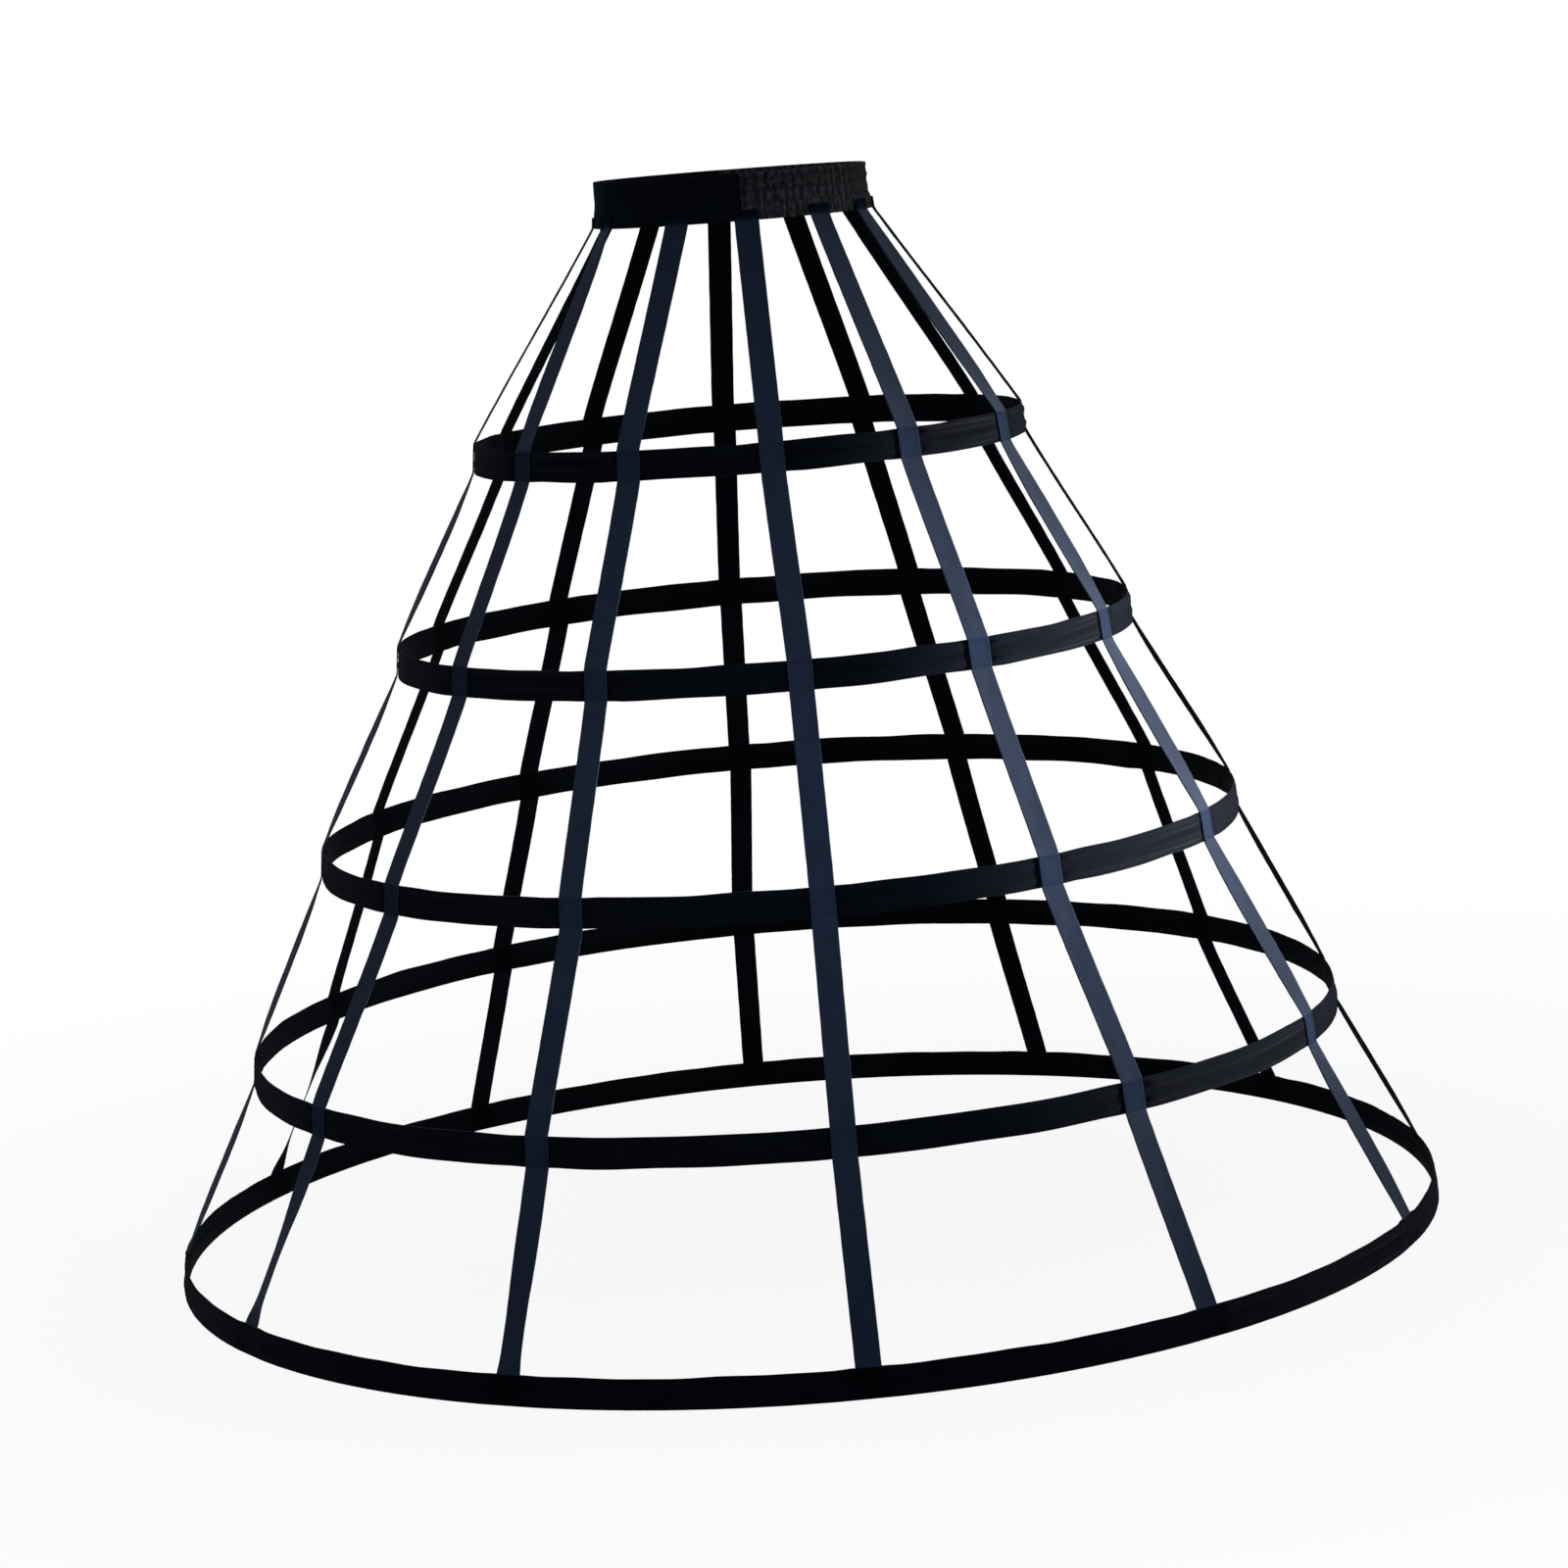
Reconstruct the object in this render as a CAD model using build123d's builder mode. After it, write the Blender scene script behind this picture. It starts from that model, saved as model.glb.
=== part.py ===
from build123d import *

import os
from math import cos, degrees, radians, sin, tan

# A crinoline cage: five cased hoops on twelve sewn tapes, hung from a waistband that is flat in front and
# shirred on elastic behind. Millimetres, +Z up. The origin is on the floor, in the middle of the bottom hoop.
# The front is -Y, and the waistband's two side seams are on the X axis.

os.makedirs("parts", exist_ok=True)

# Waistband
waist_radius = 111.0
waistband_top = 903.0
waistband_height = 38.0
waistband_seam_gap = 0.3
front_layer = 1.1
front_slit = 0.3
back_layer = 0.8
elastic_thickness = 1.2
elastic_height = 30.0
elastic_clearance = 0.15
gather_count = 44
gather_depth = 1.6
gather_depth_shares = (1.0, 0.7, 0.9, 0.6, 0.85)

# Hoops, from the top one down: the outer radius and the height of each casing's lower edge
hoop_1_radius = 233.0
hoop_2_radius = 312.0
hoop_3_radius = 391.0
hoop_4_radius = 464.0
hoop_5_radius = 540.0
hoop_1_height = 670.0
hoop_2_height = 505.0
hoop_3_height = 339.0
hoop_4_height = 167.0

# Casing, bone and joiner, the same on every hoop
casing_height = 24.0
casing_layer = 0.6
casing_hem = 3.0
casing_seam_gap = 0.4
casing_lean = 6.0
bone_height = 10.0
bone_thickness = 1.0
bone_gap = 1.0
joiner_wall = 0.4
joiner_length = 40.0
joiner_clearance = 0.1
pocket_clearance = 0.15
joint_angle = 180.0

# Tapes
tape_count = 12
tape_width = 20.0
tape_thickness = 0.8
tape_lap = 9.0
tape_tuck = 7.0
sewn_clearance = 0.1
# Degrees by which a tape is sewn off its even place, at the waistband and at hoops 1 to 5
tape_drift = {
    1: (1.5, 0.0, 0.5, 0.0, -0.5, -0.5),
    2: (3.0, -1.0, -1.5, -2.0, -0.5, -0.5),
    3: (0.5, -0.5, -1.0, -1.5, 0.5, 0.5),
    5: (0.0, -2.0, -3.0, -3.0, 0.5, 1.0),
    7: (1.0, 1.0, 1.0, 0.5, 1.0, 0.5),
    8: (2.0, 2.0, 2.0, 1.5, 1.5, 1.0),
    9: (0.0, 0.5, 2.0, 1.5, -0.5, 0.5),
    11: (-8.0, 3.0, 3.0, 2.0, -1.0, -2.0),
    12: (3.0, 1.0, 0.0, 0.5, -0.5, -0.5),
}

# Worked out from the sizes above
waistband_bottom = waistband_top - waistband_height
front_radius = waist_radius + 2 * front_layer + front_slit
elastic_radius = waist_radius + back_layer + elastic_clearance
back_pocket_radius = elastic_radius + elastic_thickness + elastic_clearance
gather_valley_radius = back_pocket_radius + back_layer
gather_crest_radius = gather_valley_radius + gather_depth
waist_seam_angle = degrees(waistband_seam_gap / waist_radius)
hoop_radii = (hoop_1_radius, hoop_2_radius, hoop_3_radius, hoop_4_radius, hoop_5_radius)
hoop_heights = (hoop_1_height, hoop_2_height, hoop_3_height, hoop_4_height, 0.0)
bottom_hoop = len(hoop_radii)
joiner_reach = joiner_clearance + joiner_wall
joiner_thickness = bone_thickness + 2 * joiner_reach
joiner_height = bone_height + 2 * joiner_reach
pocket_depth = joiner_thickness + 2 * pocket_clearance
pocket_height = joiner_height + 2 * pocket_clearance
tape_slot = tape_thickness + tape_width**2 / (8 * hoop_5_radius) + 2 * sewn_clearance


def radial_plane(angle):
    """An upright plane through the cage's axis: x outward at this angle, y up."""
    across, along = cos(radians(angle)), sin(radians(angle))
    return Plane(origin=(0, 0, 0), x_dir=(across, along, 0), z_dir=(along, -across, 0))


def section_plane(hoop, angle):
    """The plane of a hoop's section: x out through the casing, y up along it, from its lower outer edge."""
    foot = radial_plane(angle).from_local_coords((hoop_radii[hoop - 1], hoop_heights[hoop - 1], 0))
    upright = radial_plane(angle)
    leaning = upright.x_dir * cos(radians(casing_lean)) + upright.y_dir * sin(radians(casing_lean))
    return Plane(origin=foot, x_dir=leaning, z_dir=upright.z_dir)


def section_point(hoop, out, up):
    """Radius and height of a point of a hoop's section."""
    place = section_plane(hoop, 0).from_local_coords((out, up, 0))
    return place.X, place.Z


def pocket_floor(hoop):
    """How far up its casing a hoop's bone pocket starts."""
    if hoop == bottom_hoop:
        return casing_layer
    return (casing_height - pocket_height) / 2


def bone_middle(hoop):
    """The middle of the bone in a hoop's section."""
    return -casing_layer - pocket_depth / 2, pocket_floor(hoop) + pocket_height / 2


def tube_outline(hoop):
    """A casing tube: two layers sewn together along both edges, with a belly round the bone behind."""
    hem = -2 * casing_layer
    belly = hem - pocket_depth
    floor = pocket_floor(hoop)
    roof = floor + pocket_height
    return [(0, 0), (0, casing_height), (hem, casing_height), (belly, roof), (belly, floor), (hem, 0)]


def tube_pocket(hoop):
    """The hollow of a casing tube, from hem to hem."""
    belly = -casing_layer - pocket_depth
    floor = pocket_floor(hoop)
    return [
        (-casing_layer, casing_hem),
        (-casing_layer, casing_height - casing_hem),
        (belly, floor + pocket_height),
        (belly, floor),
    ]


def folded_outline(hoop):
    """The bottom casing: a strip folded up round the bone, open above for the ends of the tapes."""
    pocket = -(casing_layer + pocket_depth)
    slot = -(casing_layer + tape_slot)
    belly = pocket - casing_layer
    floor = pocket_floor(hoop)
    roof = floor + pocket_height
    # the fold lies flat on the floor, so its inner corner is higher along the leaning section
    corner_rise = -belly * tan(radians(casing_lean))
    return [
        (0, 0),
        (0, casing_height),
        (-casing_layer, casing_height),
        (-casing_layer, floor),
        (pocket, floor),
        (pocket, roof),
        (slot, casing_height),
        (slot - casing_layer, casing_height),
        (belly, roof),
        (belly, corner_rise),
    ]


def tape_planes(number):
    """Level planes at a tape's bends, on its inner face, from the waistband down into the bottom casing."""
    even_angle = (number - 1) * 360 / tape_count
    angles = [even_angle + turn for turn in tape_drift.get(number, (0.0,) * (bottom_hoop + 1))]
    # a tape faces the way its lower end does, so one that drifts stands off by what its edge turns in
    turn_in = [abs(tape_width / 2 * sin(radians(angle - angles[-1]))) + sewn_clearance for angle in angles]
    band_radius = gather_crest_radius if even_angle <= 180 else front_radius
    places = [(band_radius + turn_in[0], waistband_bottom + rise, angles[0]) for rise in (tape_lap, 0)]
    for hoop in range(1, bottom_hoop):
        for up in (casing_height, 0):
            places.append((*section_point(hoop, turn_in[hoop], up), angles[hoop]))
    in_slot = sewn_clearance - casing_layer - tape_slot
    for up in (casing_height, casing_height - tape_tuck):
        places.append((*section_point(bottom_hoop, in_slot, up), angles[-1]))
    return [
        Plane(
            origin=radial_plane(angle).from_local_coords((radius, height, 0)),
            x_dir=-radial_plane(angles[-1]).z_dir,
            z_dir=(0, 0, 1),
        )
        for radius, height, angle in places
    ]


# Waistband, front half: one strip folded over at the top
fold_height = waistband_top - front_layer
slit_radius = waist_radius + front_layer
with BuildPart() as waistband_front:
    with BuildSketch(radial_plane(180 + waist_seam_angle / 2)):
        with BuildLine():
            Polyline(
                (waist_radius, waistband_bottom),
                (waist_radius, fold_height),
                (slit_radius, waistband_top),
                (slit_radius + front_slit, waistband_top),
                (front_radius, fold_height),
                (front_radius, waistband_bottom),
                (slit_radius + front_slit, waistband_bottom),
                (slit_radius + front_slit, fold_height),
                (slit_radius, fold_height),
                (slit_radius, waistband_bottom),
                close=True,
            )
        make_face()
    revolve(axis=Axis.Z, revolution_arc=180 - waist_seam_angle)
waistband_front.part.label = "waistband_front"
export_step(waistband_front.part, "parts/waistband_front.step")

# Waistband, back half: a casing gathered up on its elastic, so that its outside stands in upright puckers
gather_span = (180 - waist_seam_angle) / gather_count
valley = Vector(gather_valley_radius, 0)
pocket_base = waistband_bottom + (waistband_height - elastic_height) / 2 - elastic_clearance
with BuildPart() as waistband_back:
    with BuildSketch(Plane.XY.offset(waistband_bottom)):
        with BuildLine():
            for number in range(gather_count):
                start = waist_seam_angle / 2 + number * gather_span
                share = gather_depth_shares[number % len(gather_depth_shares)]
                crest = Vector(gather_valley_radius + gather_depth * share, 0)
                ThreePointArc(
                    valley.rotate(Axis.Z, start),
                    crest.rotate(Axis.Z, start + gather_span / 2),
                    valley.rotate(Axis.Z, start + gather_span),
                )
            inside = CenterArc((0, 0), waist_radius, waist_seam_angle / 2, 180 - waist_seam_angle)
            Line(inside @ 0, valley.rotate(Axis.Z, waist_seam_angle / 2))
            Line(inside @ 1, valley.rotate(Axis.Z, 180 - waist_seam_angle / 2))
        make_face()
    extrude(amount=waistband_height)
    with BuildSketch(radial_plane(0)):
        with Locations((waist_radius + back_layer, pocket_base)):
            Rectangle(
                back_pocket_radius - waist_radius - back_layer,
                elastic_height + 2 * elastic_clearance,
                align=(Align.MIN, Align.MIN),
            )
    revolve(axis=Axis.Z, revolution_arc=180, mode=Mode.SUBTRACT)
waistband_back.part.label = "waistband_back"
export_step(waistband_back.part, "parts/waistband_back.step")

# The elastic strip inside the back half
with BuildPart() as waistband_elastic:
    with BuildSketch(radial_plane(waist_seam_angle / 2)):
        with Locations((elastic_radius, pocket_base + elastic_clearance)):
            Rectangle(elastic_thickness, elastic_height, align=(Align.MIN, Align.MIN))
    revolve(axis=Axis.Z, revolution_arc=180 - waist_seam_angle)
waistband_elastic.part.label = "waistband_elastic"
export_step(waistband_elastic.part, "parts/waistband_elastic.step")

for hoop, radius in enumerate(hoop_radii, start=1):
    # The casing, a strip of cloth whose ends meet under the tape at the joint
    seam_angle = degrees(casing_seam_gap / radius)
    with BuildPart() as hoop_casing:
        with BuildSketch(section_plane(hoop, joint_angle + seam_angle / 2)):
            with BuildLine():
                Polyline(*(folded_outline(hoop) if hoop == bottom_hoop else tube_outline(hoop)), close=True)
            make_face()
            if hoop != bottom_hoop:
                with BuildLine():
                    Polyline(*tube_pocket(hoop), close=True)
                make_face(mode=Mode.SUBTRACT)
        revolve(axis=Axis.Z, revolution_arc=360 - seam_angle)
    hoop_casing.part.label = f"hoop_casing_{hoop}"
    export_step(hoop_casing.part, f"parts/hoop_casing_{hoop}.step")

    # The bone, a flat springy strip bent round until its ends meet
    gap_angle = degrees(bone_gap / radius)
    with BuildPart() as hoop_bone:
        with BuildSketch(section_plane(hoop, joint_angle + gap_angle / 2)):
            with Locations(bone_middle(hoop)):
                Rectangle(bone_thickness, bone_height)
        revolve(axis=Axis.Z, revolution_arc=360 - gap_angle)
    hoop_bone.part.label = f"hoop_bone_{hoop}"
    export_step(hoop_bone.part, f"parts/hoop_bone_{hoop}.step")

    # The joiner, a flattened sleeve over both ends of the bone
    sleeve_angle = degrees(joiner_length / radius)
    with BuildPart() as hoop_joiner:
        with BuildSketch(section_plane(hoop, joint_angle - sleeve_angle / 2)):
            with Locations(bone_middle(hoop)):
                Rectangle(joiner_thickness, joiner_height)
                Rectangle(
                    bone_thickness + 2 * joiner_clearance,
                    bone_height + 2 * joiner_clearance,
                    mode=Mode.SUBTRACT,
                )
        revolve(axis=Axis.Z, revolution_arc=sleeve_angle)
    hoop_joiner.part.label = f"hoop_joiner_{hoop}"
    export_step(hoop_joiner.part, f"parts/hoop_joiner_{hoop}.step")

# Tapes: flat strips over the outside of the hoops, bent at each casing's edges
for number in range(1, tape_count + 1):
    with BuildPart() as tape:
        for bend in tape_planes(number):
            with BuildSketch(bend):
                Rectangle(tape_width, tape_thickness, align=(Align.CENTER, Align.MAX))
        loft(ruled=True)
    tape.part.label = f"tape_{number:02d}"
    export_step(tape.part, f"parts/tape_{number:02d}.step")
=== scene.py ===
"""The looks of a crinoline cage: cased hoops, woven tapes and a half-shirred waistband. Metres, +Z up."""

import math

import bpy
import numpy as np
from mathutils import Matrix, Vector


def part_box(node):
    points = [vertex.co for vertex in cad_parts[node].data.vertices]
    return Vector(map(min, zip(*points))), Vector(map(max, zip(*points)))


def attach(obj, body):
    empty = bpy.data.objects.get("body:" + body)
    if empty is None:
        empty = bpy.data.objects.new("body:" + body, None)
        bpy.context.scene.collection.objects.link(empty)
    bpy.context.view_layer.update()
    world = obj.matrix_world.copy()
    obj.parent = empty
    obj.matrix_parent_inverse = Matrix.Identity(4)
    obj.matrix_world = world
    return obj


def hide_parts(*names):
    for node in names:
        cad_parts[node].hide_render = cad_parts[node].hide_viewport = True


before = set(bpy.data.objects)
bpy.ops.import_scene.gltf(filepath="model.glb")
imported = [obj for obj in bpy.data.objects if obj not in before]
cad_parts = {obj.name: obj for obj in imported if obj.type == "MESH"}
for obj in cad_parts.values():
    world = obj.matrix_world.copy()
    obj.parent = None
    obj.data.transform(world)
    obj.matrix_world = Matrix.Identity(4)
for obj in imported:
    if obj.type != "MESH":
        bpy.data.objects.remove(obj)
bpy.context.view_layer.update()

# Camera: where it stands, how it is turned in degrees, and its lens and sensor in millimetres
camera_distance = 3.745
camera_side_angle = -4.32
camera_pitch = 8.97
camera_roll = 4.46
camera_aim_height = 0.3834
camera_aim_aside = 0.0067
camera_lens = 100.7
camera_sensor = 36.0
camera_far = 200.0

# Lights: an aim is seen from the cage's axis at lit_height, and a place is where the light stands, seen from
# its aim, each as degrees to the right of the camera, degrees above the floor, and metres
lit_height = 0.47
key_aim = (42.0, 0.0, 0.47)
key_place = (108.0, 0.0, 2.3)
key_size = 0.4
key_power = 3.8
key_spread = 22.0
key_colour = (1.0, 0.97, 0.95)
fill_aim = (4.0, -3.0, 0.4)
fill_place = (40.0, 20.0, 3.2)
fill_size = 0.3
fill_power = 0.36
fill_spread = 18.0
fill_colour = (0.92, 0.96, 1.0)
world_light = 0.25
world_colour = (0.9, 0.96, 1.06)
floor_size = 120.0
floor_colour = (0.86, 0.86, 0.86)
floor_bounce = (0.24, 0.25, 0.26)
shadow_share = 0.1
shadow_reach = 1.7

# What repeats
hoop_count = 5
tape_count = 12

# Thickness of the cloths
casing_cloth = 0.0006
tape_cloth = 0.0008
band_cloth = 0.0011
shirred_cloth = 0.0008

# Unevenness: one stream of random draws for each kind, and the waves that it is made of
seed = 7
fold_stream, casing_stream, edge_stream, tape_stream, front_stream, gather_stream, ridge_stream = range(1, 8)
wander_waves = 7
crumple_waves = 14
wave_heights_share = (0.4, 1.0)

# Casings: points up the outer layer and steps round it, which are closer beside the edges of the tapes
casing_rows = 23
casing_step = 0.005
casing_gap = 0.00002
edge_steps = (-0.0005, 0.001, 0.0025, 0.0042)
least_step = 0.0004
# Their rows of stitches, in from the edges
hem_row = 0.0016
hem_width = 0.0009
hem_dimple = 0.0001
# The pocket round the bone, which in the bottom casing is open down to the fold
pocket_depth = 0.0023
pocket_rise = 0.0034
pocket_height = 0.0113
pocket_low_share = 0.25
bone_bulge = 0.0004
# The slot at the top of the bottom casing that takes the ends of the tapes
slot_depth = 0.0078
slot_room = 0.0015
slot_rise = 0.0016
# How the cloth lies: calm near the tapes but for small pinches, and elsewhere crumpled, with wavy edges
calm_reach = 0.016
crumple_height = 0.00009
crumple_lengths = (0.008, 0.03)
edge_wave = 0.0009
edge_wave_lengths = (0.05, 0.2)
pinch_height = 0.00025
pinch_length = 0.0046
pinch_reach = 0.009
pinch_start = 0.003
pinch_drift_lengths = (0.1, 0.3)
# Painted shadow of each tape on the casing beside it: how dark, and how far it reaches
tape_shadow_share = 0.5
tape_shadow_reach = 0.005

# Folds that run along the casings, and ridges that start at the tapes. Pairs are the least and the most.
fold_count = 3
fold_height = 0.0007
fold_spread = 0.0021
fold_starts_share = (0.12, 0.9)
fold_drift_share = 0.2
fold_limits_share = (0.1, 0.9)
fold_heights_share = (0.25, 1.0)
fold_spreads_share = (0.7, 1.3)
fold_powers = (0.5, 2.2)
ridge_height = 0.0030
ridge_spread = 0.0023
ridge_start = 0.0015
ridge_rise = 0.006
ridge_reach = 0.07
ridge_places_share = (0.26, 0.80)
ridge_drift_share = 0.2
ridge_limits_share = (0.15, 0.85)
ridge_strengths_share = (0.05, 0.6)
ridge_reaches_share = (0.6, 1.2)
# Painted shade in the groove between each pair of ridges
groove_shade_share = 0.55
tight_tape = 3
tight_reach = 0.1

# Tapes
tape_half_width = 0.010
sewn_step = 0.002
free_step = 0.004
least_steps = 3
tape_lift = 0.0003
bend_share = 0.14
slack_shares = (0.03, 0.08, 0.08, 0.08, 0.08)
arrive_share = 0.04
tape_columns_share = (-1.0, -0.94, -0.8, -0.53, -0.26, 0.0, 0.26, 0.53, 0.8, 0.94, 1.0)
selvedge_share = 0.22
selvedge_width = 0.0012
ease_points = 7
tape_curl = 0.0004
tape_curl_lengths = (0.12, 0.4)
curl_centre_share = 0.3
tape_ripple = 0.00008
tape_ripple_lengths = (0.008, 0.04)
tape_edge_wave = 0.00015
tape_edge_lengths = (0.01, 0.05)
tack_inset = 0.0022
# Painted light and shade on a tape: a little lighter where sewn to the hoops, much darker where it laps the
# waistband
sewn_shade_share = 1.1
lap_shade_share = 0.2
# For a tape and the hoop below a stretch of it: degrees that it turns about its length there, and the share
# of the way down where it turns most
tape_turns = {
    3: {hoop: (-9.0, 0.5) for hoop in (1, 2, 3, 4, 5)},
    4: {hoop: (6.0, 0.5) for hoop in (3, 4, 5)},
    9: {5: (25.0, 0.6)},
    10: {hoop: (9.0, 0.5) for hoop in (2, 3, 4, 5)},
    11: {1: (8.0, 0.5), 5: (-17.0, 0.72)},
    12: {5: (-13.0, 0.8)},
}

# Waistband
band_step = 0.002
front_levels = 16
back_levels = 26
turnover_steps = 6
band_flare = 0.0025
flare_share = 0.6
seam_gap = 0.00006
band_ripple = 0.00012
band_ripple_lengths = (0.015, 0.07)
low_row = 0.0022
high_row = 0.0035
row_dimple = 0.00012
row_dimple_width = 0.00088

# Shirring: angles of sway are in radians
gather_step = 0.0008
gather_count = 44
pucker_count = 67
gather_depth = 0.0016
gather_rows_share = (0.1, 0.36, 0.62, 0.88)
row_height_share = 0.5
# For each level between the rows, from the bottom up: how much is wide gathers, and how much is small puckers
gather_levels_share = (0.5, 0.3, 0.5, 0.45, 0.5)
pucker_levels_share = (0.5, 1.0, 0.4, 0.3, 0.3)
level_reach_share = 0.62
level_blend_share = 0.24
puff_power = 0.6
sway = 3.0
sway_lengths = (0.012, 0.05)
lean_lengths = (0.01, 0.04)
pucker_sway_share = 1.6
pucker_power = 1.5
uneven_share = 0.6
uneven_lengths = (0.008, 0.03)
crinkle_share = 0.25
crinkle_lengths = (0.003, 0.009)
inner_pucker_share = 0.1
# Painted shade in the valleys of the puckers and painted highlight on their crests
valley_shade_share = 0.35
crest_highlight_share = 1.75

# Thread, and for the rings of a stitch: how far along it, how thick and how far raised
thread_radius = 0.00022
thread_sides = 4
stitch_rings_share = ((0.0, 0.45, -0.5), (0.5, 1.0, 0.35), (1.0, 0.45, -0.5))
stitch_length = 0.0029
stitch_pitch = 0.0040
stitch_start_share = 0.25
fine_stitch_length = 0.0017
fine_stitch_pitch = 0.0024

# Finish: noise scales are features in a metre, and weaves are ribs with a pitch, a turn in degrees and a
# direction
twill = [(0.0009, 45.0, "X")]
plain_weave = [(0.0008, 0.0, "X"), (0.0008, 0.0, "Y")]
ribbed = [(0.0011, 0.0, "X"), (0.0006, 0.0, "Y")]
twisted = [(0.0003, 30.0, "X")]
rib_distortion = 1.2
rib_detail = 1.0
rib_detail_scale = 2.0
rib_tone_share = 0.4
patch_scale = 38.0
patch_detail = 4.0
patch_roughness = 0.6
fibre_scale = 2600.0
fibre_detail = 2.0
fibre_relief_share = 0.5
cloth_tones_share = 0.3
cloth_roughness = (0.75, 0.97)
cloth_relief = 0.7
cloth_gloss = 0.008
thread_gloss = 0.02
sheen_roughness = 0.45
tape_sheen = 0.24
casing_sheen = 0.115
streak_scale = 160.0
streak_detail = 3.0
streak_stretch = (1, 1, 12)
streak_tones_share = 0.12
streak_relief = 0.2
relief_depth = 0.0001
bone_roughness = 0.4
joiner_roughness = 0.35

# Colours
tape_blue = (0.020, 0.031, 0.060)
tape_back_blue = (0.0075, 0.0092, 0.0135)
casing_black = (0.004, 0.006, 0.010)
lining_black = (0.0065, 0.008, 0.0105)
band_black = (0.006, 0.009, 0.0135)
shirred_grey = (0.052, 0.0527, 0.057)
elastic_black = (0.02, 0.02, 0.022)
thread_black = (0.006, 0.0065, 0.009)
bone_white = (0.6, 0.6, 0.58)
joiner_grey = (0.55, 0.55, 0.56)
violet = (0.86, 0.86, 1.0)
white = (1.0, 1.0, 1.0)

tau = 2 * math.pi
# At a scale of 1 the wave texture turns through this many radians in a metre
wave_texture_turn = 20.0
# Corners of a solid that agree to this many decimals are one point, and those of a tape that are this near in
# height belong to one bend
point_decimals = 6
bend_decimals = 5
same_height = 2e-5


# Shared functions


def node_points(node):
    """The corners of a CAD node's mesh, each once."""
    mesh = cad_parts[node].data
    points = np.zeros(len(mesh.vertices) * 3)
    mesh.vertices.foreach_get("co", points)
    return np.unique(points.reshape(-1, 3).round(point_decimals), axis=0)


def polar(radius, angle, height):
    return np.stack(np.broadcast_arrays(radius * np.cos(angle), radius * np.sin(angle), height), axis=-1)


def random_for(*numbers):
    return np.random.default_rng([seed, *numbers])


def smooth_step(value):
    value = np.clip(value, 0, 1)
    return value * value * (3 - 2 * value)


def bump(value, centre, spread):
    return np.exp(-(((value - centre) / spread) ** 2))


def swell(phase):
    """A wave between 0 and 1."""
    return 0.5 + 0.5 * np.cos(phase)


def wander(along, rng, between):
    """A smooth, aimless line between -1 and 1, from waves whose lengths are drawn between two."""
    lengths = rng.uniform(*between, wander_waves)
    phases = rng.uniform(0, tau, wander_waves)
    heights = rng.uniform(*wave_heights_share, wander_waves)
    total = sum(h * np.sin(tau * along / n + p) for h, n, p in zip(heights, lengths, phases))
    return total / heights.sum()


def crumple(along, across, rng, between):
    """Fine unevenness of a cloth, mostly between -1 and 1, from slanting waves of lengths between two."""
    total = 0
    for _ in range(crumple_waves):
        length, turn, phase = rng.uniform(*between), rng.uniform(0, math.pi), rng.uniform(0, tau)
        total = total + np.sin(tau * (along * math.cos(turn) + across * math.sin(turn)) / length + phase)
    return total / math.sqrt(crumple_waves)


# Meshes


def grid_faces(rows, columns, closed=False):
    """Quads over a grid of rows by columns of points, whose columns may close round."""
    across = columns if closed else columns - 1
    row, column = np.meshgrid(np.arange(rows - 1), np.arange(across), indexing="ij")
    after = (column + 1) % columns
    low, high = row * columns, (row + 1) * columns
    return np.stack([low + column, low + after, high + after, high + column], axis=-1).reshape(-1, 4)


def make_piece(name, points, faces, materials, uvs=None, face_materials=None, shade=1.0):
    """A smooth-shaded mesh of quads that rides on the cage.

    shade is painted shade and painted highlight, which makes its cloth darker or lighter at each point."""
    points = np.asarray(points, float).reshape(-1, 3)
    corners = faces.shape[1]
    mesh = bpy.data.meshes.new(name)
    mesh.vertices.add(len(points))
    mesh.vertices.foreach_set("co", points.ravel())
    mesh.loops.add(faces.size)
    mesh.loops.foreach_set("vertex_index", faces.ravel().astype(np.int32))
    mesh.polygons.add(len(faces))
    mesh.polygons.foreach_set("loop_start", np.arange(0, faces.size, corners, dtype=np.int32))
    if uvs is not None:
        layer = mesh.uv_layers.new(name="cloth")
        layer.data.foreach_set("uv", np.asarray(uvs, float).reshape(-1, 2)[faces.ravel()].ravel())
    # Painted shade and painted highlight, kept on each point as the shade attribute
    shades = np.broadcast_to(np.ravel(shade), len(points)).astype(np.float32)
    mesh.attributes.new("shade", "FLOAT", "POINT").data.foreach_set("value", shades)
    for material in materials:
        mesh.materials.append(material)
    if face_materials is not None:
        mesh.polygons.foreach_set("material_index", face_materials.astype(np.int32))
    mesh.polygons.foreach_set("use_smooth", np.ones(len(faces), bool))
    mesh.update(calc_edges=True)
    mesh.validate()
    piece = bpy.data.objects.new(name, mesh)
    bpy.context.scene.collection.objects.link(piece)
    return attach(piece, "root")


def thicken(piece, thickness):
    """Gives a sheet its thickness, half to each side."""
    solidify = piece.modifiers.new("cloth", "SOLIDIFY")
    solidify.thickness = thickness
    solidify.offset = 0.0


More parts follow.
